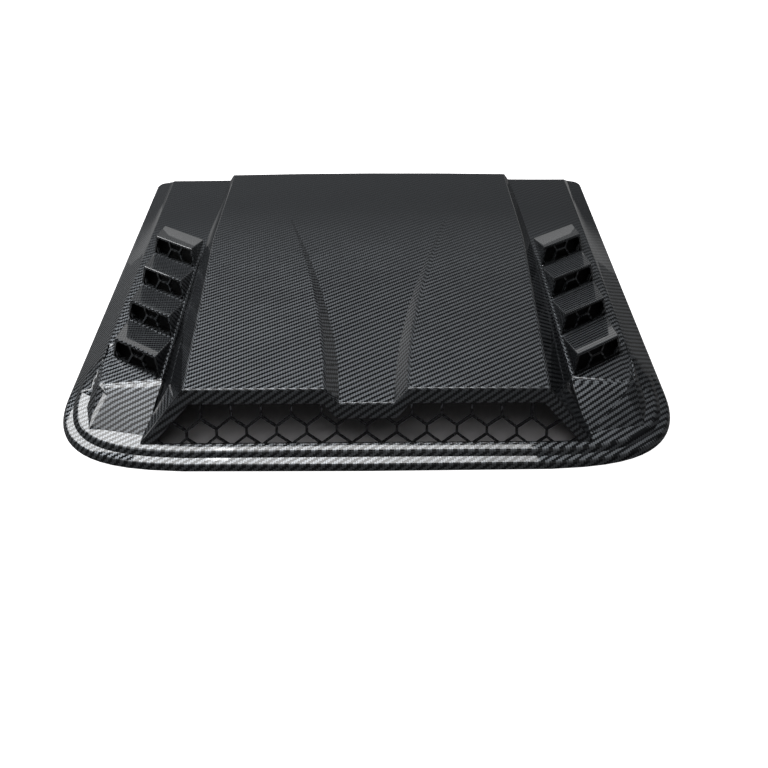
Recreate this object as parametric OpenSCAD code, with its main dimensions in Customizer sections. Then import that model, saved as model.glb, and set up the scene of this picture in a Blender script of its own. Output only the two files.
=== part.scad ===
// Bonnet scoop: one moulded plastic shell that sits flat on a car bonnet.
// +X is the width, the air intake faces -Y, +Z is up. Origin: centre of the underside.

/* [Overall] */
// Width of the base rim at its widest, across the front corners
body_w = 780; // [700:1:860]
// Length of the base rim from front to rear
body_l = 682; // [620:1:740]
// Height of the panel's front edge
body_h = 70; // [60:0.5:80]
// Wall thickness of the moulding
wall = 3; // [2:0.5:4]
// Width of the base rim at its rear corners
rear_w = 760; // [680:1:840]
// Length of each rounded front corner along the side
corner_l = 126; // [90:1:160]
// Radius of the rear corners
rear_corner_r = 12; // [4:1:20]

/* [Front rim] */
// Height of the lower rim ledge
low_ledge_h = 8; // [5:0.5:10]
// Height of the upper rim ledge
top_ledge_h = 14; // [12:0.5:18]
// Width of the lower rim ledge
low_ledge_w = 10; // [7:0.5:12]
// Width of the upper rim ledge in front of the intake
top_ledge_w = 13; // [9:0.5:16]
// Run of the sloping edge below the lower ledge
edge_run = 4; // [2:0.5:6]
// Run of the sloping step between the two ledges
step_run = 6; // [3:0.5:8]
// Fall of each ledge towards the outside
ledge_fall = 1; // [0:0.1:1.5]

/* [Pods] */
// Height of the side pods at the rear
pod_rear_h = 8; // [7:0.5:12]
// Height of the side pods at the nose
pod_front_h = 34; // [28:0.5:40]
// Width of the sloping side flange at the front, from the rim's edge to the pod's outer crease
flange_w = 41; // [36:1:50]
// Width of the sloping side flange at the rear
flange_rear_w = 29; // [28:1:44]
// Width of each pod between its outer crease and its inner edge
pod_w = 87; // [80:1:96]
// Drop of the bevel along the outer crease
crease_drop = 3.5; // [1:0.5:5]
// Width of the bevel along the outer crease
crease_w = 6; // [4:0.5:7]
// Depth of the groove between pod and centre panel
groove_depth = 11; // [6:0.5:14]

/* [Centre panel] */
// Distance from the panel's top edge to the pod's inner edge at the rear
panel_gap_rear = 21; // [18:1:36]
// Distance from the panel's top edge to the pod's inner edge at the front
panel_gap_front = 42; // [36:1:56]
// Spread of the panel's side walls at the front, from top edge to foot
side_flare = 54; // [46:1:60]
// Distance from the rear edge to the shoulder, where the panel starts to narrow
shoulder_gap = 241; // [200:1:280]
// Spread of the panel's side walls at the shoulder, from top edge to deck
shoulder_flare = 19; // [14:0.5:21]
// Spread of the panel's side walls at the rear, from top edge to deck
rear_flare = 9; // [6:0.5:12]
// Height of the panel at the rear
panel_rear_h = 21.5; // [18:0.5:26]
// Crown of the panel at the rear edge
panel_crown = 3; // [0:0.5:5]
// Backward lean of the intake face, run over its full height
face_run = 36; // [24:1:46]

/* [Valley] */
// Depth of the valley at the front of the panel
valley_depth = 15.4; // [8:0.2:18]
// Distance from the rear edge to the valley's rear end
valley_rear_gap = 163; // [120:1:200]
// Half of the valley's width at its rear end
valley_rear_x = 131; // [100:1:150]
// Half of the valley's width at the front, across its top edges
valley_top_x = 50; // [42:1:60]
// Half of the valley floor's width at the front
valley_floor_x = 33; // [20:1:38]

/* [Intake] */
// Width of the lip band round the intake, along the sloping face
lip_w = 18; // [14:0.5:22]
// Width of the cells of the intake mesh
mesh_pitch = 36.3; // [34:0.1:40]
// Length of the upright struts of the intake mesh
mesh_strut_l = 9.5; // [6:0.5:12]
// Rise of the slanted struts of the intake mesh
mesh_slant = 13; // [10:0.5:14]
// Height of the lowest upright struts' feet up the sloping face
mesh_foot = 12.5; // [8:0.5:16]
// Droop of the mesh towards the sides of the intake
mesh_bow = 11.5; // [0:0.5:16]
// Width of the mesh struts
mesh_strut_w = 2.8; // [2:0.1:4]
// Thickness of the mesh
mesh_t = 3.5; // [2:0.5:5]

/* [Louvres] */
// Number of louvres on each side
louvre_count = 4; // [3:1:5]
// Rise of each louvre above the pod
louvre_rise = 26; // [18:0.5:28]
// Distance from the rear edge to the rearmost louvre's outer front end
louvre_rear_gap = 239; // [229:1:249]
// Distance from the nose's top edge to the foremost louvre's outer front end
louvre_front_gap = 66; // [63:1:80]
// Distance from the louvres' outer ends to the pod's outer crease
louvre_outer_gap = 19; // [13:1:26]
// Distance from the louvres' inner ends to the pod's inner edge
louvre_inner_gap = 6; // [6:1:16]
// Forward sweep of the inner end against the outer end
louvre_sweep = 40; // [24:1:42]
// Forward lean of each vent opening from top to foot
louvre_lean = 11; // [6:0.5:14]
// Width of the frame left round each vent opening
louvre_frame = 3.5; // [2:0.5:5]
// Depth of each blind vent recess
recess_depth = 16; // [10:0.5:20]
// Size of the vent cells across their flats
cell_flats = 29; // [24:0.5:32]
// Width of the ribs between the vent cells
rib_w = 2.6; // [1.8:0.1:3.6]
// Depth of the ribs
rib_t = 4; // [2:0.5:6]

/* [Hidden] */

half_w = body_w / 2;
half_l = body_l / 2;
pod_outer_x = half_w - flange_w;
pod_inner_x = pod_outer_x - pod_w;
pod_mid_x = (pod_outer_x + pod_inner_x) / 2;
panel_rear_x = pod_inner_x - panel_gap_rear;
panel_front_x = pod_inner_x - panel_gap_front;
louvre_outer_x = pod_outer_x - louvre_outer_gap;
louvre_inner_x = pod_inner_x + louvre_inner_gap;
corner_steps = 18;
corner_pow_x = 6.5;
corner_pow_y = 2.3;
corner_y = corner_l - half_l;
rear_lean = 0.3;
rear_over = 6;
floor_z = -2;
sky_z = 120;

face_foot_y = edge_run + low_ledge_w + step_run + top_ledge_w - half_l;
face_rise = body_h - top_ledge_h;
face_slope = face_run / face_rise;
face_len = norm([face_run, face_rise]);
panel_rear_y = half_l - rear_lean * panel_rear_h;
panel_front_y = face_foot_y + face_run;
core_x = panel_front_x - 40;
shoulder_y = half_l - shoulder_gap;
valley_rear_y = half_l - valley_rear_gap;
blend_start_y = corner_y + 45;
blend_len = 60;

// Pod noses and grooves.
nose_top_y = face_foot_y + 83;
nose_back_y = nose_top_y + 85;
nose_side_y = nose_top_y + 35;
nose_inner_foot_y = face_foot_y + 12;
nose_outer_foot_y = face_foot_y + 25;
nose_bevel_drop = 3;
nose_flare = 13;
nose_trim = 3;
groove_rear_y = half_l - 221;
groove_run = 60;
louvre_first_y = half_l - louvre_rear_gap;
louvre_pitch = (louvre_first_y - nose_top_y - louvre_front_gap) / (louvre_count - 1);

// Frame left beside the intake window, and the spread of the vent openings' feet.
jamb_top_w = 7;
jamb_foot_w = 15;
notch_gap = 3;
vent_spread_out = 8;
vent_spread_in = 4;

// Height of the pod deck at a distance y along the length.
function deck(y) = pod_rear_h + (pod_front_h - pod_rear_h) * (half_l - y) / (half_l - nose_top_y);

// Height of the centre panel at a distance y along the length.
function panel(y) =
  panel_rear_h + (body_h - panel_rear_h) * (panel_rear_y - y) / (panel_rear_y - panel_front_y);

function clamp01(v) = max(0, min(1, v));

// Share of the stepped front rim in the rim's section at a distance y.
function step_share(y) = clamp01((blend_start_y - y) / blend_len);

// Stations along the right half of the base outline, from the front centre to the rear corner.
corner_pts = [
  for (i = [0 : corner_steps])
    let (a = 90 * pow(i / corner_steps, 0.8))
      [half_w * pow(sin(a), 2 / corner_pow_x), corner_y - corner_l * pow(cos(a), 2 / corner_pow_y)]
];
side_ys = [corner_y + 15, corner_y + 35, blend_start_y, half_l + rear_over];
function side_x(y) = half_w + (rear_w / 2 - half_w) * (y - corner_y) / (half_l - corner_y);
half_outline = concat(corner_pts, [for (y = side_ys) [side_x(y), y]]);
last = len(half_outline) - 1;

// Unit normal pointing inward of the edge from a to b, with the outline running anticlockwise.
function inward(a, b) = let (d = b - a) [-d.y, d.x] / norm(d);

// Mitred inward offset of one corner of a polyline.
function mitre(a, b, c, k) = let (n = inward(a, b), m = inward(b, c)) b + k * (n + m) / (1 + n * m);

// Right-half outline of rim line i, moved inward by a further t.
function half_ring(i, t) = [
  for (j = [0 : last])
    let (p = half_outline[j], k = rim_in(i, p.y) + t)
      j == 0 ? [0, p.y + k]
      : j == last ? [p.x - k, p.y]
      : mitre(half_outline[j - 1], p, half_outline[j + 1], k)
];

// Closed outline from a right half and heights given per station.
function mirror_ring(pts, zs) = concat(
  [for (j = [0 : last]) [pts[j].x, pts[j].y, zs[j]]],
  [for (j = [last : -1 : 1]) [-pts[j].x, pts[j].y, zs[j]]]
);

// Width of the side flange at a distance y, narrower towards the rear.
function flange(y) =
  flange_w + (flange_rear_w - flange_w) * clamp01((y - blend_start_y) / (half_l - blend_start_y));

// Insets of the rim's lines from the edge, and their heights along the front.
ledge_in = [0, edge_run, edge_run + low_ledge_w, edge_run + low_ledge_w + step_run];
rim_lines = 6;
function rim_in(i, y) = i < 4 ? ledge_in[i] : i == 4 ? flange(y) - crease_w : flange(y);
rim_front_z = [0, low_ledge_h - ledge_fall, low_ledge_h, top_ledge_h - ledge_fall, top_ledge_h, top_ledge_h];
function rim_side_z(i, y) = i == 5 ? deck(y) : (deck(y) - crease_drop) * rim_in(i, y) / rim_in(4, y);
function rim_z(i, y) = let (s = step_share(y)) s * rim_front_z[i] + (1 - s) * rim_side_z(i, y);

// Closed solid between rings of equal length, each anticlockwise from above, lowest first.
module loft(rings) {
  n = len(rings[0]);
  top = len(rings) - 1;
  polyhedron(
    points = [for (r = rings) each r],
    faces = concat(
      [[for (j = [0 : n - 1]) j]],
      [[for (j = [n - 1 : -1 : 0]) top * n + j]],
      [
        for (i = [0 : top - 1], j = [0 : n - 1])
          let (a = i * n + j, b = i * n + (j + 1) % n)
            each [[a, a + n, b + n], [a, b + n, b]]
      ]
    )
  );
}

// Base of the shell: stepped rim, sloping flanges and pod decks, moved inward by t.
module base_block(t) {
  rings = [
    for (i = [0 : rim_lines - 1])
      mirror_ring(
        half_ring(i, t),
        [for (p = half_outline) i == 0 ? -t : rim_z(i, p.y) - t]
      )
  ];
  n = len(rings[0]);
  top = len(rings) - 1;
  base = top * n;
  polyhedron(
    points = [for (r = rings) each r],
    faces = concat(
      [[for (j = [0 : n - 1]) j]],
      [[base + 1, base, base + n - 1]],
      [
        for (j = [1 : last - 1])
          let (l = n - j)
            each [[base + j + 1, base + j, base + l], [base + j + 1, base + l, base + l - 1]]
      ],
      [
        for (i = [0 : top - 1], j = [0 : n - 1])
          let (a = i * n + j, b = i * n + (j + 1) % n)
            each [[a, a + n, b + n], [a, b + n, b]]
      ]
    )
  );
}

// Centre block under the panel: raked front face, sides that narrow from the shoulder, crowned rear.
module centre_block(t) {
  top_in = 0.6 * t;
  low_in = 1.3 * t;
  z0 = floor_z;
  rear_y = panel_rear_y + rear_over;
  flat_y = valley_rear_y + 8;
  front_y = panel_front_y + top_in;
  foot_y = face_foot_y - face_slope * (top_ledge_h - z0) + low_in;
  foot_x = panel_front_x + side_flare * (body_h - z0) / face_rise - low_in;
  function side_foot_x(y, flare) = panel_rear_x + flare * (panel(y) - z0) / (panel(y) - deck(y)) - low_in;
  crown = [for (c = [1, 0.5, 0, -0.5, -1]) [c, panel_crown * (1 - c * c)]];
  low = [
    [-foot_x, foot_y, z0],
    [foot_x, foot_y, z0],
    [side_foot_x(shoulder_y, shoulder_flare), shoulder_y, z0],
    for (c = crown) [c[0] * side_foot_x(rear_y, rear_flare), rear_y, z0],
    [-side_foot_x(shoulder_y, shoulder_flare), shoulder_y, z0]
  ];
  high = [
    [-panel_front_x + top_in, front_y, panel(front_y) - t],
    [panel_front_x - top_in, front_y, panel(front_y) - t],
    [panel_rear_x - top_in, shoulder_y, panel(shoulder_y) - t],
    for (c = crown) [c[0] * (panel_rear_x - top_in), rear_y, panel(rear_y) + c[1] - t],
    [-panel_rear_x + top_in, shoulder_y, panel(shoulder_y) - t]
  ];
  ridge = [for (c = [1, -1]) [c * (panel_rear_x - top_in), flat_y, panel(flat_y) - t]];
  n = len(low);
  r = 2 * n;
  polyhedron(
    points = concat(low, high, ridge),
    faces = concat(
      [[for (j = [0 : n - 1]) j]],
      [[n + 1, n, n + 8], [n + 1, n + 8, n + 2], [n + 2, n + 8, r + 1], [n + 2, r + 1, r]],
      [[n + 3, r, n + 4], [n + 4, r, n + 5], [n + 5, r, r + 1], [n + 5, r + 1, n + 6], [n + 6, r + 1, n + 7]],
      [[1, n + 1, n + 2], [1, n + 2, 2], [2, n + 2, r], [2, r, n + 3], [2, n + 3, 3]],
      [[0, n + 8, n], [0, 8, n + 8], [8, r + 1, n + 8], [8, n + 7, r + 1], [8, 7, n + 7]],
      [for (j = [0, 3, 4, 5, 6]) let (a = j, b = j + 1) each [[a, a + n, b + n], [a, b + n, b]]]
    )
  );
}

// Nose of the right pod: bevelled front facet that comes down to the upper ledge.
module nose_block(t) {
  foot = [
    [pod_inner_x - nose_trim, nose_back_y],
    [pod_inner_x + nose_flare - nose_trim, nose_inner_foot_y - nose_trim / 5],
    [pod_outer_x - nose_flare / 2, nose_outer_foot_y],
    [pod_outer_x + 6, nose_top_y - 21],
    [pod_outer_x + 8, nose_side_y],
    [pod_outer_x + 8, nose_back_y]
  ];
  bevel = [
    [pod_inner_x - nose_trim, nose_back_y],
    [pod_inner_x - nose_trim, nose_top_y + 2 + nose_trim / 6],
    [pod_outer_x - 19, nose_top_y - 10],
    [pod_outer_x - 8, nose_top_y + 2],
    [pod_outer_x, nose_side_y],
    [pod_outer_x + 1, nose_back_y]
  ];
  crest = [
    [pod_inner_x - nose_trim, nose_back_y],
    [pod_inner_x - nose_trim, nose_top_y + 11 + nose_trim / 6],
    [pod_outer_x - 16, nose_top_y],
    [pod_outer_x - 11, nose_top_y + 9],
    [pod_outer_x - 3, nose_side_y + 4],
    [pod_outer_x - 1, nose_back_y]
  ];
  function moved(p, k) = [p.x - sign(p.x - pod_mid_x) * t * k, p.y + t];
  foot_z = t > 0 ? floor_z : top_ledge_h - 1;
  loft([
    [for (p = foot) let (q = moved(p, 1)) [q.x, q.y, foot_z]],
    [for (p = bevel) let (q = moved(p, 0.8)) [q.x, q.y, deck(p.y) - nose_bevel_drop - t]],
    [for (p = crest) let (q = moved(p, 0.8)) [q.x, q.y, deck(p.y) - t]]
  ]);
}

// Groove between the right pod and the centre panel, grown by t; it runs out at the nose.
module groove(t) {
  ys = [
    groove_rear_y, groove_rear_y - groove_run, nose_top_y + 11, nose_top_y - 35, nose_inner_foot_y - 4
  ];
  wall_x = [for (out = [0, 0, 0, nose_flare / 2, nose_flare]) pod_inner_x + out];
  foot_z = [
    deck(ys[0]), deck(ys[1]) - groove_depth, deck(ys[2]) - groove_depth, top_ledge_h + 4, top_ledge_h
  ];
  loft([
    for (i = [0 : len(ys) - 1])
      let (x = wall_x[i] + 0.7 * t, y = ys[i], z = foot_z[i] - t)
        [[core_x, y, z], [x - 4, y, z], [x, y, max(z + 1, deck(y))], [x, y, sky_z], [core_x, y, sky_z]]
  ]);
}

// Valley in the middle of the panel, grown by t: it deepens and narrows towards the front.
module valley(t) {
  front_s = 1.08;
  over = 0.15;
  shares = concat([for (k = [0 : 7]) k / 8], [1, front_s]);
  loft([
    for (s = shares)
      let (
        y = valley_rear_y + (panel_front_y - valley_rear_y) * s,
        taper = pow(max(0, 1 - s), 1.6),
        top_x = valley_top_x + (valley_rear_x - valley_top_x) * taper + 0.6 * t,
        low_x = valley_floor_x + (valley_rear_x - 1 - valley_floor_x) * taper + 0.6 * t,
        low_z = panel(y) - valley_depth * pow(s, 1.25) - t,
        rim_x = top_x + over * (top_x - low_x),
        rim_z = panel(y) + max(0.4, over * (panel(y) - low_z))
      )
        [
          [-low_x, y, low_z], [low_x, y, low_z], [rim_x, y, rim_z],
          [rim_x, y, sky_z], [-rim_x, y, sky_z], [-rim_x, y, rim_z]
        ]
  ]);
}

// Corner points of the right louvre i: front edge, foot line and rear line, outer end first.
function louvre_y(i) = louvre_first_y - i * louvre_pitch;
function louvre_top(i) = let (ya = louvre_y(i), yb = ya - louvre_sweep)
  [[louvre_outer_x, ya, deck(ya) + louvre_rise], [louvre_inner_x, yb, deck(yb) + louvre_rise]];
function louvre_axis(i) = let (t = louvre_top(i)) (t[0] - t[1]) / norm(t[0] - t[1]);
louvre_drop = [0, -louvre_lean, -louvre_rise];
function louvre_foot(i) = let (t = louvre_top(i), e = louvre_axis(i))
  [t[0] + louvre_drop + vent_spread_out * e, t[1] + louvre_drop - vent_spread_in * e];
deck_fall = deck(1) - deck(0);

// Right louvre i as a wedge with a forward face, its planes moved inward by t.
module louvre(i, t) {
  e = louvre_axis(i);
  foot = louvre_foot(i);
  sink = [0, -1 * louvre_lean / louvre_rise, -1 - 2 * t];
  back = louvre_pitch - 0.5;
  a = louvre_top(i)[0] - e * t + [0, t, -1.2 * t];
  b = louvre_top(i)[1] + e * t + [0, t, -1.2 * t];
  pts = [
    foot[0] - e * t + sink, foot[1] + e * t + sink, a, b,
    foot[0] - e * t + sink + [0, back, deck_fall * back],
    foot[1] + e * t + sink + [0, back, deck_fall * back]
  ];
  polyhedron(points = pts, faces = [[0, 1, 3, 2], [2, 3, 5, 4], [0, 4, 5, 1], [0, 2, 4], [1, 5, 3]]);
}

// Axes and size of the vent face of louvre i; its origin is the middle of the foot line.
function vent_up(i) = let (e = louvre_axis(i), w = -louvre_drop, p = w - (w * e) * e) p / norm(p);
function vent_mid(i) = (louvre_foot(i)[0] + louvre_foot(i)[1]) / 2;
function vent_uv(i, p) = let (d = p - vent_mid(i)) [d * louvre_axis(i), d * vent_up(i)];

// Outline of the vent opening of louvre i on its face, grown by g.
function vent_outline(i, g) =
  let (
    f = louvre_frame - g,
    a0 = vent_uv(i, louvre_foot(i)[0]), b0 = vent_uv(i, louvre_foot(i)[1]),
    a1 = vent_uv(i, louvre_top(i)[0]), b1 = vent_uv(i, louvre_top(i)[1])
  )
    [[b0.x + f, -g], [a0.x - f, -g], [a1.x - f, a1.y - f], [b1.x + f, b1.y - f]];

// Places a drawing on the vent face of louvre i, z outward.
module on_vent(i) {
  e = louvre_axis(i);
  v = vent_up(i);
  n = cross(e, v);
  o = vent_mid(i);
  multmatrix([[e.x, v.x, n.x, o.x], [e.y, v.y, n.y, o.y], [e.z, v.z, n.z, o.z], [0, 0, 0, 1]])
    children();
}

// Blind recess behind the vent opening, grown by t; it runs straight back under the sloping lid.
module recess(i, t) {
  e = louvre_axis(i);
  v = vent_up(i);
  lid_fall = -louvre_rise / (louvre_pitch - louvre_lean);
  front = [for (q = vent_outline(i, t)) vent_mid(i) + q.x * e + q.y * v];
  loft([for (y = [recess_depth + t, -8]) [for (q = front) q + [0, y, y * lid_fall]]]);
}

function hexagon(c, r, turn) = [for (k = [0 : 5]) c + r * [cos(60 * k + turn), sin(60 * k + turn)]];

// Honeycomb ribs across the vent opening of louvre i.
module ribs(i) {
  r = cell_flats / sqrt(3);
  on_vent(i)
    translate([0, 0, -rib_t - 0.8])
      linear_extrude(rib_t)
        difference() {
          polygon(vent_outline(i, 0.6));
          for (c = [-2 : 2], k = [-1 : 1])
            polygon(hexagon([1.5 * r * c, cell_flats * (k + abs(c) % 2 / 2)], r - rib_w / sqrt(3), 0));
        }
}

// Places a drawing on the raked intake face: x across, y up the slope, z outward.
module on_face() {
  c = face_run / face_len;
  s = face_rise / face_len;
  multmatrix([[1, 0, 0, 0], [0, c, -s, face_foot_y], [0, s, c, top_ledge_h], [0, 0, 0, 1]])
    children();
}

// Outline of the intake window on its face, grown by g.
function window_outline(g) =
  let (
    top_v = face_len - lip_w + g,
    notch_v = top_v - valley_depth * face_len / face_rise,
    foot_u = panel_front_x + side_flare - jamb_foot_w + g,
    top_u = panel_front_x - jamb_top_w + g,
    right = [
      [foot_u, -g], [top_u, top_v], [valley_top_x + notch_gap, top_v], [valley_floor_x + notch_gap, notch_v]
    ]
  )
    concat(right, [for (k = [3 : -1 : 0]) [-right[k].x, right[k].y]]);

// A straight strut of the intake mesh from a to b.
module strut(a, b) {
  d = (b - a) / norm(b - a);
  n = mesh_strut_w / 2 * [-d.y, d.x];
  polygon([a - d + n, a - d - n, b + d - n, b + d + n]);
}

// Point of the mesh at u across and v up the face, drooping towards the sides.
function mesh_point(u, v) = [u, v - mesh_bow * pow(abs(u) / (panel_front_x + side_flare), 2.5)];

// Intake mesh of upright struts and slanted zigzags, clipped to the window.
module intake_mesh() {
  half = mesh_pitch / 2;
  on_face()
    translate([0, 0, -mesh_t])
      linear_extrude(mesh_t - 0.5)
        intersection() {
          polygon(window_outline(1));
          for (k = [-8 : 8])
            let (u = mesh_pitch * k, v = mesh_foot, top = v + mesh_strut_l, crest = top + mesh_slant) {
              strut(mesh_point(u, v), mesh_point(u, top));
              for (side = [-half, half]) {
                strut(mesh_point(u, v), mesh_point(u + side, v - mesh_slant));
                strut(mesh_point(u, top), mesh_point(u + side, crest));
              }
              strut(mesh_point(u + half, crest), mesh_point(u + half, face_len));
            }
        }
}

// Point at angle a of the rounded rear corner on the right.
function rear_corner(a) = [
  rear_w / 2 + 0.2 * cos(a) - rear_corner_r * (1 - cos(a)),
  half_l - rear_corner_r * (1 - sin(a))
];

// Space the moulding is trimmed to: leaning rear wall, rounded rear corners, flat underside.
module trim(t) {
  depth = 2 * body_l;
  intersection() {
    rotate([90, 0, 90])
      translate([0, 0, -body_w])
        linear_extrude(2 * body_w)
          polygon([
            [-depth, t > 0 ? floor_z : 0], [half_l - t - rear_lean * floor_z * sign(t), t > 0 ? floor_z : 0],
            [half_l - t - rear_lean * sky_z, sky_z], [-depth, sky_z]
          ]);
    translate([0, 0, floor_z])
      linear_extrude(sky_z - floor_z)
        polygon(concat(
          [[-body_w, -body_l], [body_w, -body_l], [half_w + rear_over, 0]],
          [for (a = [0 : 15 : 90]) rear_corner(a)],
          [for (a = [90 : -15 : 0]) [-rear_corner(a).x, rear_corner(a).y]],
          [[-half_w - rear_over, 0]]
        ));
  }
}

module both_sides() {
  children();
  mirror([1, 0, 0]) children();
}

// Filled form of the scoop, its walls moved inward by t.
module form(t) {
  intersection() {
    difference() {
      union() {
        difference() {
          union() {
            base_block(t);
            both_sides() nose_block(t);
          }
          both_sides() groove(t);
        }
        centre_block(t);
        both_sides()
          for (i = [0 : louvre_count - 1])
            louvre(i, t);
      }
      valley(t);
      both_sides()
        for (i = [0 : louvre_count - 1])
          recess(i, t);
    }
    trim(t);
  }
}

// One-piece shell: hollow form, open intake with its mesh, ribbed blind vents.
module scoop_shell() {
  color([0.07, 0.07, 0.08]) {
    difference() {
      form(0);
      form(wall);
      on_face()
        translate([0, 0, -3 * wall])
          linear_extrude(4 * wall)
            polygon(window_outline(0));
    }
    intake_mesh();
    both_sides()
      for (i = [0 : louvre_count - 1])
        ribs(i);
  }
}

scoop_shell();
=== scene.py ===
import math

import bmesh
import bpy
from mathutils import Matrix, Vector


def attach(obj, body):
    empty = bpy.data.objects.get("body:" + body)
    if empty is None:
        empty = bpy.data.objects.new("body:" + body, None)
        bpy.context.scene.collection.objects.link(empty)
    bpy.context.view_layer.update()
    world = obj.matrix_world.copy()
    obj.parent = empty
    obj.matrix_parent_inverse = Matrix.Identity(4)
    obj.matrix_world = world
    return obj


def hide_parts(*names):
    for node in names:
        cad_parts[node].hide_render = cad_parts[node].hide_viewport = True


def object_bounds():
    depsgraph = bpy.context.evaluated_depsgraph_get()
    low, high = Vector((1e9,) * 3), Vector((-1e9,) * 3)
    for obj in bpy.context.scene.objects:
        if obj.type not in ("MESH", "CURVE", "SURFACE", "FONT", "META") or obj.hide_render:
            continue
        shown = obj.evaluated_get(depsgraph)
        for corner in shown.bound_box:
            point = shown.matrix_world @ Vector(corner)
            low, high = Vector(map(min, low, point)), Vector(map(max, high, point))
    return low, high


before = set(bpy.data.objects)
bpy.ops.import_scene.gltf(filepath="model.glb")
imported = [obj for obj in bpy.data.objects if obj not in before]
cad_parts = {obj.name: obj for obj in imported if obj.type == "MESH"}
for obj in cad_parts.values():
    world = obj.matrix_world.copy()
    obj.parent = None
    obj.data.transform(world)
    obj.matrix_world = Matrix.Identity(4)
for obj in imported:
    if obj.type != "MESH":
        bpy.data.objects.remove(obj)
cad_low, cad_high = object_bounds()

# Scoop shell: one black ABS sheet, drawn over a mould and trimmed level at its foot, so that it stands
# on its own rim. Its skin starts as the moulding's own shape, with its flat faces joined up again.
MERGE_GAP = 1e-5
FLAT_ANGLE = math.radians(0.5)
SLIVER_W = 1e-4

shell_mesh = bpy.data.meshes.new("scoop_skin")
bm = bmesh.new()
bm.from_mesh(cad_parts["scoop_shell"].data)
bmesh.ops.remove_doubles(bm, verts=bm.verts, dist=MERGE_GAP)
bmesh.ops.dissolve_limit(bm, angle_limit=FLAT_ANGLE, verts=bm.verts, edges=bm.edges)
bmesh.ops.dissolve_degenerate(bm, dist=SLIVER_W, edges=bm.edges)

# Side flanges: drawn with the shell, they twist from steep at the nose to nearly flat at the rear, below
# a crease near their top. The long faces between their lines are cut into short ones, laid on that twist.
FLANGE_FRONT_Y, FLANGE_REAR_Y = -0.170, 0.341
FLANGE_FRONT_W, FLANGE_REAR_W = 0.041, 0.029
FLANGE_X = 0.344
CREASE_W, CREASE_DROP = 0.006, 0.0035
RIM_LINES = (0.0, 0.004, 0.014, 0.020)
RIM_HALF_W, RIM_TAPER = 0.390, 0.010
RIM_CORNER_Y, RIM_SIDE_L = -0.215, 0.556
DECK_REAR_Z, DECK_RISE, DECK_L = 0.008, 0.026, 0.566
FACES_UP = 0.2
LONG_FACE = 0.4
MANY_CORNERS = 9
STATION_GAP = 0.04
STATION_TOUCH = 0.001


def deck_z(y):
    """Height of the pod decks."""
    return DECK_REAR_Z + DECK_RISE * (FLANGE_REAR_Y - y) / DECK_L


def flange_line(co):
    """Inset of a point from the rim's edge, and the crease's inset there."""
    inset = RIM_HALF_W - RIM_TAPER * (co.y - RIM_CORNER_Y) / RIM_SIDE_L - abs(co.x)
    share = (co.y - FLANGE_FRONT_Y) / (FLANGE_REAR_Y - FLANGE_FRONT_Y)
    return inset, FLANGE_FRONT_W + (FLANGE_REAR_W - FLANGE_FRONT_W) * share - CREASE_W


def is_outside(face):
    """True for an upper face that lies wholly in the strips of the side flanges."""
    return face.normal.z > FACES_UP and min(abs(v.co.x) for v in face.verts) > FLANGE_X


def on_flange(face):
    """True for the long upper faces of the side flanges."""
    reach = [v.co.y for v in face.verts]
    return max(reach) - min(reach) > LONG_FACE and is_outside(face)


def crosses_lines(edge):
    """True for a long edge that runs from one of the flange's lines to another."""
    ends = []
    for v in edge.verts:
        inset, crease = flange_line(v.co)
        lines = (*RIM_LINES, crease, crease + CREASE_W)
        ends.append(min(range(len(lines)), key=lambda i: abs(lines[i] - inset)))
    return ends[0] != ends[1]


def spans(face, y):
    """True for a face that reaches past a station on both sides."""
    reach = [v.co.y for v in face.verts]
    return min(reach) < y - STATION_TOUCH and max(reach) > y + STATION_TOUCH


bm.normal_update()
inner_edges = [e for e in bm.edges if e.link_faces and all(on_flange(f) for f in e.link_faces)]
bmesh.ops.dissolve_edges(bm, edges=[e for e in inner_edges if crosses_lines(e)], use_verts=False)
station = FLANGE_FRONT_Y + STATION_GAP
while station < FLANGE_REAR_Y - 0.5 * STATION_GAP:
    long_faces = [f for f in bm.faces if len(f.verts) < MANY_CORNERS and is_outside(f) and spans(f, station)]
    borders = {e for f in long_faces for e in f.edges}
    corners = {v for f in long_faces for v in f.verts}
    cut = bmesh.ops.bisect_plane(
        bm, geom=[*long_faces, *borders, *corners], plane_co=(0.0, station, 0.0), plane_no=(0.0, 1.0, 0.0)
    )
    for vert in (v for v in cut["geom_cut"] if isinstance(v, bmesh.types.BMVert)):
        inset, crease = flange_line(vert.co)
        if inset < crease:
            vert.co.z = (deck_z(vert.co.y) - CREASE_DROP) * max(inset, 0.0) / crease
    bm.normal_update()
    station += STATION_GAP

# Noses of the side pods: across the top of each runs a soft shoulder, half as steep as the facet below
# it. The sheet is drawn thin there and can't follow the mould into a sharp fold.
SHOULDER_X = (0.2615, 0.345)
SHOULDER_Y = (-0.238, -0.220)
SHOULDER_DROP, SHOULDER_FIT = 0.003, 0.0008
SHOULDER_LIFT = 0.0009

for vert in bm.verts:
    x, y, z = abs(vert.co.x), vert.co.y, vert.co.z
    across_nose = SHOULDER_X[0] < x < SHOULDER_X[1] and SHOULDER_Y[0] < y < SHOULDER_Y[1]
    if across_nose and abs(deck_z(y) - SHOULDER_DROP - z) < SHOULDER_FIT:
        vert.co.z += SHOULDER_LIFT
bm.normal_update()

# Outer edges: the warm sheet bends round each one of the mould, which leaves a small roll on it. Short
# edges and hollow corners get none, and the soft fold across each nose's front facet gets none.
ROLL = 0.0019
ROLL_STEPS = 3
PROUD_ANGLE = math.radians(9)
SQUARE_ANGLE = math.radians(75)
SHARP_ANGLE = math.radians(110)
SHORTEST_ROLL = 3 * ROLL
SHORTEST_SQUARE = 0.035
SHORTEST_BESIDE = 0.45 * ROLL
FOOT_Z = 0.004
FACES_OUT = 0.15
TWIST_AREA, TWIST_FRONT, TWIST_UP = 1.2e-3, -0.2, 0.9


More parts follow.
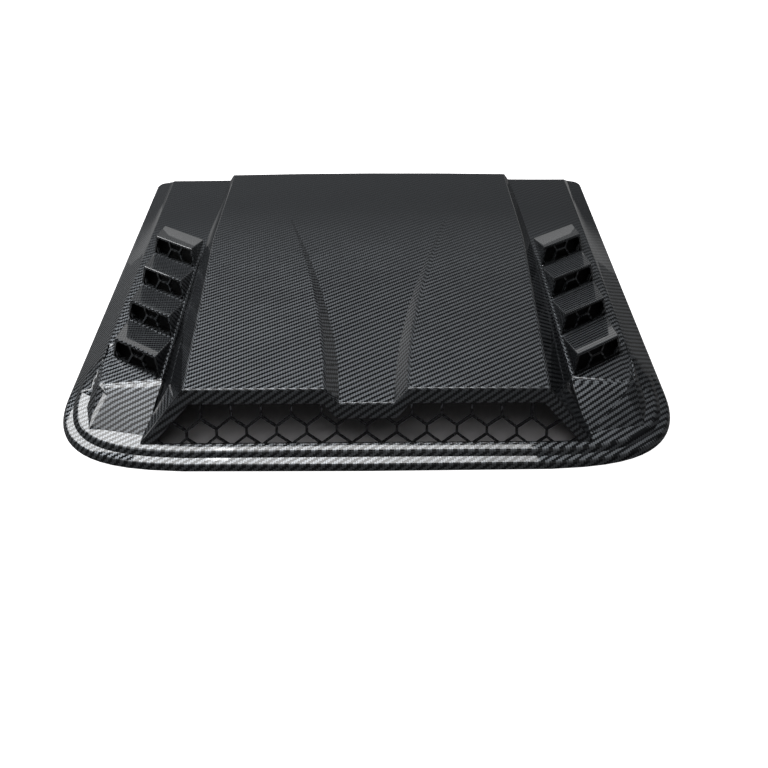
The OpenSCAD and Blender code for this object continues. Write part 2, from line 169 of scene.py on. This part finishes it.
def is_twist(edge):
    """True for the soft fold across a nose's front facet, which is one twisted surface."""
    return len(edge.link_faces) == 2 and all(
        f.calc_area() > TWIST_AREA and f.normal.y < TWIST_FRONT and f.normal.z > TWIST_UP
        for f in edge.link_faces
    )


def stands_proud(edge):
    """True for a clean outer edge of the upper side, which the mould rolls over."""
    if len(edge.link_faces) != 2 or not edge.is_convex or max(v.co.z for v in edge.verts) < FOOT_Z:
        return False
    if is_twist(edge):
        return False
    angle, length = edge.calc_face_angle(0.0), edge.calc_length()
    if not PROUD_ANGLE < angle < SHARP_ANGLE or length < SHORTEST_ROLL:
        return False
    upward = sorted(f.normal.z for f in edge.link_faces)
    if angle > SQUARE_ANGLE and (length < SHORTEST_SQUARE or upward[0] < FACES_UP):
        return False
    if any(e.calc_length() < SHORTEST_BESIDE for v in edge.verts for e in v.link_edges):
        return False
    return upward[1] > FACES_OUT


bmesh.ops.bevel(
    bm, geom=[e for e in bm.edges if stands_proud(e)], affect="EDGES", offset=ROLL,
    offset_type="OFFSET", segments=ROLL_STEPS, profile=0.5, clamp_overlap=False, material=-1,
)
bm.normal_update()

# Folds: the sheet's surface runs smoothly over its rolled edges. A fold shows as a line only in a
# hollow corner, where the sheet breaks sharply, and between the flat facets of the noses.
BREAK_ANGLE = math.radians(24)
FACET_ANGLE = math.radians(3)
NOSE_X = 0.25
FACET_AREA, NEIGHBOUR_AREA = 1e-3, 2e-4


def is_crisp(edge):
    """True for a hollow corner, and for a fold between the flat facets of the noses."""
    if len(edge.link_faces) != 2:
        return True
    if is_twist(edge):
        return False
    angle = edge.calc_face_angle(0.0)
    if angle > BREAK_ANGLE or (angle > PROUD_ANGLE and not edge.is_convex):
        return True
    small, large = sorted(f.calc_area() for f in edge.link_faces)
    on_nose = min(abs(v.co.x) for v in edge.verts) > NOSE_X and large > FACET_AREA and small > NEIGHBOUR_AREA
    return on_nose and angle > FACET_ANGLE


for face in bm.faces:
    face.smooth = True
for edge in bm.edges:
    edge.smooth = not is_crisp(edge)
bmesh.ops.triangulate(bm, faces=[f for f in bm.faces if len(f.verts) > 4])
bm.to_mesh(shell_mesh)
bm.free()
shell = bpy.data.objects.new("scoop_skin", shell_mesh)
bpy.context.scene.collection.objects.link(shell)
weighted = shell.modifiers.new("even_shading", "WEIGHTED_NORMAL")
weighted.keep_sharp = True
weighted.weight = 100

# Bare places: the printed film covers only what the open sky can reach. The underside and the blind
# vents behind their honeycomb stay bare black plastic.
VENT_X = 0.262
RIB_REACH = 0.045
RAY_START = 2e-4
FACES_FRONT = -0.6

bpy.context.view_layer.update()
depsgraph = bpy.context.evaluated_depsgraph_get()
solid = shell.evaluated_get(depsgraph)


def is_bare(polygon):
    """True where no film is laid: the underside, and inside the vents behind their ribs."""
    start = polygon.center + polygon.normal * RAY_START
    if not solid.ray_cast(start, Vector((0.0, 0.0, 1.0)))[0]:
        return False
    may_be_rib = polygon.normal.y < FACES_FRONT and abs(polygon.center.x) > VENT_X
    return not may_be_rib or solid.ray_cast(start, polygon.normal, distance=RIB_REACH)[0]


bare = [is_bare(polygon) for polygon in shell_mesh.polygons]

# Painted shade: the film's tows are painted darker, with less metallic sheen, where shade falls: round the
# struts of the intake, down the channels between the louvres and the panel, down into the valley and over the
# front rim's steps. Each zone has the share of tone that is taken away, and the limits of where its faces lie
# and lean.
LIP_FRONT, LIP_Z, LIP_X = -0.4, 0.03, 0.2
ENDLESS = math.inf
SHADED_ZONES = {
    "struts": (0.85, {
        "x": (-ENDLESS, 0.27), "y": (-ENDLESS, -0.12), "z": (-ENDLESS, 0.05),
        "upward": (-ENDLESS, 0.8), "before_lip": (-ENDLESS, -3e-4),
    }),
    "rim's upper step": (0.45, {"y": (-ENDLESS, -0.2), "z": (0.008, 0.013), "upward": (0.2, 0.85)}),
    "rim's lower step": (0.25, {"y": (-ENDLESS, -0.2), "z": (-ENDLESS, 0.013), "upward": (0.2, 0.85)}),
    "valley walls": (0.25, {
        "x": (-ENDLESS, 0.14), "z": (0.035, ENDLESS), "sideways": (0.12, ENDLESS), "upward": (0.5, ENDLESS),
    }),
    "valley floor": (0.15, {
        "x": (-ENDLESS, 0.03), "y": (-ENDLESS, 0.0), "z": (0.035, ENDLESS), "upward": (0.9, ENDLESS),
    }),
    "channels": (0.5, {
        "x": (0.185, 0.3), "y": (-0.24, 0.2), "z": (0.008, ENDLESS), "sideways": (0.55, ENDLESS),
    }),
}

lip_faces = [
    p for p in shell_mesh.polygons if p.normal.y < LIP_FRONT and p.center.z > LIP_Z and abs(p.center.x) < LIP_X
]
lip = max(lip_faces, key=lambda p: p.area)


def painted_shade_at(polygon):
    """Share of painted shade on a face: how much of the print's tone is taken away there."""
    middle, normal = polygon.center, polygon.normal
    place = {
        "x": abs(middle.x), "y": middle.y, "z": middle.z, "sideways": abs(normal.x), "upward": normal.z,
        "before_lip": (middle - lip.center).dot(lip.normal),
    }
    for share, limits in SHADED_ZONES.values():
        if all(least < place[name] < most for name, (least, most) in limits.items()):
            return share
    return 0.0


# Painted shade: each face keeps its share of painted shade in a face attribute, which the film reads.
painted_shade = shell_mesh.attributes.new("painted_shade", "FLOAT", "FACE")
for polygon in shell_mesh.polygons:
    painted_shade.data[polygon.index].value = painted_shade_at(polygon)

# Lay of the cloth print: the film is laid on the finished moulding and keeps its stripe spacing where
# it goes down a slope, so its map is unrolled face by face.
weave_map = shell_mesh.uv_layers.new(name="weave")
for polygon in shell_mesh.polygons:
    n = polygon.normal
    for loop_index in polygon.loop_indices:
        p = shell_mesh.vertices[shell_mesh.loops[loop_index].vertex_index].co
        drop = p.z / (1.0 + max(n.z, 0.0))
        weave_map.data[loop_index].uv = (p.x - n.x * drop, p.y - n.y * drop)

# Twill print: two-by-two twill, each tow 2.5 mm wide, the cloth turned 11 degrees against the part, so
# that its stripes rise to the right. It gives the light tows, and a height for the tows' rounding.
TOW = 0.0025
CLOTH_TURN = math.radians(11)
TWILL_REPEAT, LAST_WARP_STEP = 4.0, 1.5
TOW_ROUNDING = 3.0
WARP_RIDGE, WARP_EDGE, WEFT_RIDGE = 0.6, 0.4, 0.035


def sum_node(tree, operation, *values):
    """A maths node in a node tree, its inputs given as sockets or numbers."""
    node = tree.nodes.new("ShaderNodeMath")
    node.operation = operation
    for socket, value in zip(node.inputs, values):
        if isinstance(value, (int, float)):
            socket.default_value = value
        else:
            tree.links.new(value, socket)
    return node.outputs[0]


def axes_of(tree, vector):
    """The x, y and z of a vector socket."""
    node = tree.nodes.new("ShaderNodeSeparateXYZ")
    tree.links.new(vector, node.inputs[0])
    return node.outputs


twill = bpy.data.node_groups.new("twill_print", "ShaderNodeTree")
twill.interface.new_socket("Map", in_out="INPUT", socket_type="NodeSocketVector")
twill.interface.new_socket("Light tow", in_out="OUTPUT", socket_type="NodeSocketFloat")
twill.interface.new_socket("Height", in_out="OUTPUT", socket_type="NodeSocketFloat")
entry = twill.nodes.new("NodeGroupInput")
leave = twill.nodes.new("NodeGroupOutput")
right, back, _ = axes_of(twill, entry.outputs["Map"])
cos_turn, sin_turn = math.cos(CLOTH_TURN) / TOW, math.sin(CLOTH_TURN) / TOW
across = sum_node(
    twill, "SUBTRACT", sum_node(twill, "MULTIPLY", right, cos_turn), sum_node(twill, "MULTIPLY", back, sin_turn)
)
along = sum_node(
    twill, "ADD", sum_node(twill, "MULTIPLY", right, sin_turn), sum_node(twill, "MULTIPLY", back, cos_turn)
)
step = sum_node(twill, "SUBTRACT", sum_node(twill, "FLOOR", across), sum_node(twill, "FLOOR", along))
warp_up = sum_node(twill, "LESS_THAN", sum_node(twill, "FLOORED_MODULO", step, TWILL_REPEAT), LAST_WARP_STEP)


def tow_round(position):
    """Rounded cross-section of one tow, 1 on its ridge and 0 at its edges."""
    off = sum_node(
        twill, "ABSOLUTE", sum_node(twill, "MULTIPLY_ADD", sum_node(twill, "FRACT", position), 2.0, -1.0)
    )
    return sum_node(twill, "SUBTRACT", 1.0, sum_node(twill, "POWER", off, TOW_ROUNDING))


warp, weft = tow_round(across), tow_round(along)
weft_up = sum_node(twill, "SUBTRACT", 1.0, warp_up)
light = sum_node(twill, "MULTIPLY", warp_up, sum_node(twill, "MULTIPLY_ADD", warp, WARP_RIDGE, WARP_EDGE))
shade = sum_node(twill, "MULTIPLY", weft_up, sum_node(twill, "MULTIPLY", weft, WEFT_RIDGE))
twill.links.new(sum_node(twill, "ADD", light, shade), leave.inputs["Light tow"])
height = sum_node(
    twill, "ADD", sum_node(twill, "MULTIPLY", warp_up, warp), sum_node(twill, "MULTIPLY", weft_up, weft)
)
twill.links.new(height, leave.inputs["Height"])

# Handling marks: a little settled dust in patches, a haze from wiping, and a slight ripple of the
# surface. They are on the film and on the bare plastic alike.
SPECK_SCALE, SPECK_SPAN = 900.0, (0.74, 0.8)
PATCH_SCALE, PATCH_SPAN = 9.0, (0.45, 0.75)
WIPE_SCALE, WIPE_ROUGH = 22.0, 0.6
RIPPLE_SCALE = 55.0


def noise_node(tree, vector, scale, detail, roughness=0.5):
    """A noise texture on a vector socket."""
    node = tree.nodes.new("ShaderNodeTexNoise")
    node.inputs["Scale"].default_value = scale
    node.inputs["Detail"].default_value = detail
    node.inputs["Roughness"].default_value = roughness
    tree.links.new(vector, node.inputs["Vector"])
    return node.outputs[0]


def range_node(tree, value, low, high, to_low=0.0, to_high=1.0):
    """Maps a value's range onto another with a smooth step."""
    node = tree.nodes.new("ShaderNodeMapRange")
    node.interpolation_type = "SMOOTHSTEP"
    for name, number in (("From Min", low), ("From Max", high), ("To Min", to_low), ("To Max", to_high)):
        node.inputs[name].default_value = number
    tree.links.new(value, node.inputs["Value"])
    return node.outputs[0]


marks = bpy.data.node_groups.new("handling_marks", "ShaderNodeTree")
marks.interface.new_socket("Place", in_out="INPUT", socket_type="NodeSocketVector")
for socket_name in ("Dust", "Haze", "Ripple"):
    marks.interface.new_socket(socket_name, in_out="OUTPUT", socket_type="NodeSocketFloat")
entry = marks.nodes.new("NodeGroupInput")
leave = marks.nodes.new("NodeGroupOutput")
place = entry.outputs["Place"]
specks = range_node(marks, noise_node(marks, place, SPECK_SCALE, detail=1.0), *SPECK_SPAN)
patches = range_node(marks, noise_node(marks, place, PATCH_SCALE, detail=3.0), *PATCH_SPAN)
marks.links.new(sum_node(marks, "MULTIPLY", specks, patches), leave.inputs["Dust"])
marks.links.new(noise_node(marks, place, WIPE_SCALE, detail=5.0, roughness=WIPE_ROUGH), leave.inputs["Haze"])
marks.links.new(noise_node(marks, place, RIPPLE_SCALE, detail=2.0), leave.inputs["Ripple"])

# Carbon-look film under clear lacquer: near-black gaps, grey tows with a metallic sheen, and a glossy
# coat with a faint ripple. Its stripes are less crisp and its tows darker towards the rear of the part.
FILM_GAP = (0.006, 0.0066, 0.0076)
FILM_TOW = (0.173, 0.185, 0.199)
DUST_GREY = (0.30, 0.30, 0.29)
CRISP_Y, CRISPNESS = (0.22, -0.06), (0.06, 1.0)
TONE_Y, MEAN_TONE = (0.24, -0.08), (0.16, 0.27)
FILM_METAL = 0.82
FILM_DUST = 0.35
HAZE_SPAN = (0.3, 0.7)
FILM_ROUGH = (0.4, 0.48)
LACQUER_ROUGH = 0.035
TOW_RELIEF = 0.35
FILM_RELIEF = 0.12
RELIEF_DEPTH = 0.0002


def new_finish(name):
    """A new material, its node tree and its shader."""
    material = bpy.data.materials.new(name)
    material.use_nodes = True
    return material, material.node_tree, material.node_tree.nodes["Principled BSDF"]


def place_group(tree, group, socket_name, source):
    """Places a node group in a material's tree, fed from a source socket."""
    node = tree.nodes.new("ShaderNodeGroup")
    node.node_tree = group
    tree.links.new(source, node.inputs[socket_name])
    return node.outputs


def blend_colours(tree, factor, dark, light):
    """Mixes two colours, given as sockets or colours, by a factor socket."""
    node = tree.nodes.new("ShaderNodeMix")
    node.data_type = "RGBA"
    for socket, value in ((node.inputs[6], dark), (node.inputs[7], light)):
        if isinstance(value, tuple):
            socket.default_value = (*value, 1.0)
        else:
            tree.links.new(value, socket)
    tree.links.new(factor, node.inputs[0])
    return node.outputs[2]


def add_relief(tree, shader, height, strength):
    """Gives a shader the relief of a height socket."""
    bump = tree.nodes.new("ShaderNodeBump")
    bump.inputs["Strength"].default_value = strength
    bump.inputs["Distance"].default_value = RELIEF_DEPTH
    tree.links.new(height, bump.inputs["Height"])
    tree.links.new(bump.outputs[0], shader.inputs["Normal"])


film, tree, shader = new_finish("carbon_film")
map_node = tree.nodes.new("ShaderNodeUVMap")
map_node.uv_map = "weave"
where = tree.nodes.new("ShaderNodeTexCoord")
weave = place_group(tree, twill, "Map", map_node.outputs[0])
wear = place_group(tree, marks, "Place", where.outputs["Object"])
spot = axes_of(tree, where.outputs["Object"])
crispness = range_node(tree, spot["Y"], *CRISP_Y, *CRISPNESS)
mean_tone = range_node(tree, spot["Y"], *TONE_Y, *MEAN_TONE)
tone = sum_node(
    tree, "MULTIPLY_ADD", sum_node(tree, "SUBTRACT", weave["Light tow"], mean_tone), crispness, mean_tone
)
# Painted shade: the tows' tone, and with it their metallic sheen, is cut by each face's share of painted shade.
shade_attribute = tree.nodes.new("ShaderNodeAttribute")
shade_attribute.attribute_name = "painted_shade"
tone = sum_node(tree, "MULTIPLY", tone, sum_node(tree, "SUBTRACT", 1.0, shade_attribute.outputs["Fac"]))
printed = blend_colours(tree, tone, FILM_GAP, FILM_TOW)
dusty = blend_colours(tree, sum_node(tree, "MULTIPLY", wear["Dust"], FILM_DUST), printed, DUST_GREY)
tree.links.new(dusty, shader.inputs["Base Color"])
tree.links.new(sum_node(tree, "MULTIPLY", tone, FILM_METAL), shader.inputs["Metallic"])
tree.links.new(range_node(tree, wear["Haze"], *HAZE_SPAN, *FILM_ROUGH), shader.inputs["Roughness"])
shader.inputs["Specular IOR Level"].default_value = 0.0
shader.inputs["Coat Weight"].default_value = 1.0
shader.inputs["Coat Roughness"].default_value = LACQUER_ROUGH
height = sum_node(tree, "MULTIPLY_ADD", weave["Height"], TOW_RELIEF, wear["Ripple"])
add_relief(tree, shader, height, FILM_RELIEF)

# Bare ABS on the underside and inside the vents: the black sheet as it comes from the mould, with its
# own fine grain and a little dust, and with no lacquer on it.
BARE_BLACK = (0.007, 0.007, 0.0075)
BARE_DUST = 0.2
BARE_ROUGH = (0.5, 0.66)
GRAIN_SCALE, GRAIN_RELIEF = 1400.0, 0.25

bare_abs, tree, shader = new_finish("bare_black_abs")
where = tree.nodes.new("ShaderNodeTexCoord")
wear = place_group(tree, marks, "Place", where.outputs["Object"])
dusty = blend_colours(tree, sum_node(tree, "MULTIPLY", wear["Dust"], BARE_DUST), BARE_BLACK, DUST_GREY)
tree.links.new(dusty, shader.inputs["Base Color"])
tree.links.new(range_node(tree, wear["Haze"], *HAZE_SPAN, *BARE_ROUGH), shader.inputs["Roughness"])
grain = noise_node(tree, where.outputs["Object"], GRAIN_SCALE, detail=3.0)
add_relief(tree, shader, grain, GRAIN_RELIEF)

shell_mesh.materials.append(film)
shell_mesh.materials.append(bare_abs)
for polygon, has_no_film in zip(shell_mesh.polygons, bare):
    polygon.material_index = 1 if has_no_film else 0

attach(shell, "root")
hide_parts("scoop_shell")

# Studio floor: a plain white surface that runs on past the camera's view. Outside the scoop the camera
# sees it lifted to clean white, so it keeps only a soft shadow; under the scoop it stays dark. The
# gloss of the film mirrors it as a dim floor, so that the sides stay black.
FLOOR_WHITE = (0.78, 0.76, 0.78)
FLOOR_MIRRORED = (0.08, 0.08, 0.08)
FLOOR_ROUGH = 0.9
FLOOR_LIFT = 0.9
MIRROR_SHARE = 0.06
FLOOR_REACH, FLOOR_DROP = 6.0, 0.0003
CORNER_POWER = 5.0
UNDER_SCOOP = (0.955, 0.985)

bm = bmesh.new()
bmesh.ops.create_grid(bm, x_segments=1, y_segments=1, size=FLOOR_REACH)
bmesh.ops.translate(bm, verts=bm.verts, vec=(0.0, 0.0, -FLOOR_DROP))
floor_mesh = bpy.data.meshes.new("floor")
bm.to_mesh(floor_mesh)
bm.free()
floor = bpy.data.objects.new("floor", floor_mesh)
bpy.context.scene.collection.objects.link(floor)
white, tree, shader = new_finish("white_surface")
shader.inputs["Roughness"].default_value = FLOOR_ROUGH
shader.inputs["Specular IOR Level"].default_value = 0.0
shader.inputs["Emission Color"].default_value = (1.0, 1.0, 1.0, 1.0)
where = tree.nodes.new("ShaderNodeTexCoord")
spot = axes_of(tree, where.outputs["Object"])
half_w, half_l = cad_high[0], cad_high[1]
wide, deep = (
    sum_node(
        tree, "POWER", sum_node(tree, "ABSOLUTE", sum_node(tree, "DIVIDE", spot[axis], half)), CORNER_POWER
    )
    for axis, half in (("X", half_w), ("Y", half_l))
)
outside = sum_node(tree, "POWER", sum_node(tree, "ADD", wide, deep), 1.0 / CORNER_POWER)
open_floor = range_node(tree, outside, *UNDER_SCOOP, 0.0, FLOOR_LIFT)
rays = tree.nodes.new("ShaderNodeLightPath")
mirrored = sum_node(tree, "MAXIMUM", rays.outputs["Is Glossy Ray"], rays.outputs["Is Transmission Ray"])
seen = sum_node(
    tree, "MAXIMUM", rays.outputs["Is Camera Ray"], sum_node(tree, "MULTIPLY", mirrored, MIRROR_SHARE)
)
tree.links.new(sum_node(tree, "MULTIPLY", open_floor, seen), shader.inputs["Emission Strength"])
tree.links.new(blend_colours(tree, mirrored, FLOOR_WHITE, FLOOR_MIRRORED), shader.inputs["Base Color"])
floor_mesh.materials.append(white)

# Studio lamps: a long soft panel hangs level behind the part, with a dimmer end on its right and a wing
# on its left. A bright strip below it shows in the front ledges, a dim panel hangs over the part's left
# side, and a small one stands low on its left. Their glow is the brightness of the face.
PANELS = (
    ("rear_panel", (-0.34, 1.1, 2.18), 1.56, 0.8, 8.0),
    ("rear_panel_end", (0.57, 1.1, 2.18), 0.26, 0.8, 6.0),
    ("wing_panel", (-1.65, 1.6, 2.18), 1.06, 1.2, 8.0),
    ("bright_strip", (-0.68, 1.05, 2.15), 0.09, 0.36, 12.0),
    ("side_panel", (-0.9, 0.0, 2.2), 1.0, 1.4, 1.8),
)
LOW_PANEL = ("low_panel", (-1.52, 0.38, 0.92), 0.5, 0.3, 6.0)
LOW_PANEL_AIM = Vector((1.2, -0.6, -0.9))


def place_lamp(name, middle, width, depth, glow, turn=(0.0, 0.0, 0.0)):
    """Places a lamp panel, which shines straight down unless it is turned."""
    lamp_data = bpy.data.lights.new(name, "AREA")
    lamp_data.shape = "RECTANGLE"
    lamp_data.size, lamp_data.size_y = width, depth
    lamp_data.energy = glow * math.pi * width * depth
    lamp = bpy.data.objects.new(name, lamp_data)
    lamp.location = middle
    lamp.rotation_euler = turn
    bpy.context.scene.collection.objects.link(lamp)


for panel in PANELS:
    place_lamp(*panel)
place_lamp(*LOW_PANEL, turn=LOW_PANEL_AIM.to_track_quat("-Z", "Y").to_euler())

# Room round the lamps: dim, and dimmer on the right. A pale wall behind the part shows low on its
# horizon, where the louvre lids mirror it, and some light comes in from high up in front, on to the
# floor in the intake. Heights and sides are those of the direction looked in.
WALL_GLOW, WALL_HEIGHT, WALL_BACK = 0.62, (0.02, 0.17), (0.7, 0.9)
ROOM_GLOW, ROOM_RIGHT, RIGHT_SHARE = 0.08, (0.1, 0.6), 0.5
FRONT_GLOW, FRONT_HEIGHT, FRONT_SIDE = 0.45, (0.79, 0.88), (-0.1, -0.3)

room = bpy.data.worlds.new("room")
bpy.context.scene.world = room
room.use_nodes = True
tree = room.node_tree
backdrop = tree.nodes["Background"]
backdrop.inputs["Color"].default_value = (1.0, 1.0, 1.0, 1.0)
where = tree.nodes.new("ShaderNodeTexCoord")
spot = axes_of(tree, where.outputs["Generated"])
low_down = range_node(tree, spot["Z"], *WALL_HEIGHT, WALL_GLOW - ROOM_GLOW, 0.0)
wall = sum_node(tree, "MULTIPLY", low_down, range_node(tree, spot["Y"], *WALL_BACK))
high_up = range_node(tree, spot["Z"], *FRONT_HEIGHT, 0.0, FRONT_GLOW)
front = sum_node(tree, "MULTIPLY", high_up, range_node(tree, spot["Y"], *FRONT_SIDE))
room_side = range_node(tree, spot["X"], *ROOM_RIGHT, ROOM_GLOW, RIGHT_SHARE * ROOM_GLOW)
glow = sum_node(tree, "ADD", room_side, sum_node(tree, "ADD", wall, front))
rays = tree.nodes.new("ShaderNodeLightPath")
tree.links.new(sum_node(tree, "MAXIMUM", glow, rays.outputs["Is Camera Ray"]), backdrop.inputs["Strength"])

# Camera of the photograph: 0.73 m above the floor and a metre in front of the part's middle. It looks
# down by 43.3 degrees and half a degree to the right, through a lens of ordinary length.
CAMERA_AT = (0.0149, -0.9639, 0.7295)
CAMERA_TILT, CAMERA_TURN = math.radians(90 - 43.3), math.radians(-0.506)
LENS, SENSOR_W = 37.5, 36

camera_data = bpy.data.cameras.new("camera")
camera_data.lens = LENS
camera_data.sensor_width = SENSOR_W
camera = bpy.data.objects.new("camera", camera_data)
camera.location = CAMERA_AT
camera.rotation_euler = (CAMERA_TILT, 0, CAMERA_TURN)
bpy.context.scene.collection.objects.link(camera)
bpy.context.scene.camera = camera
bpy.context.scene.view_settings.view_transform = "Standard"
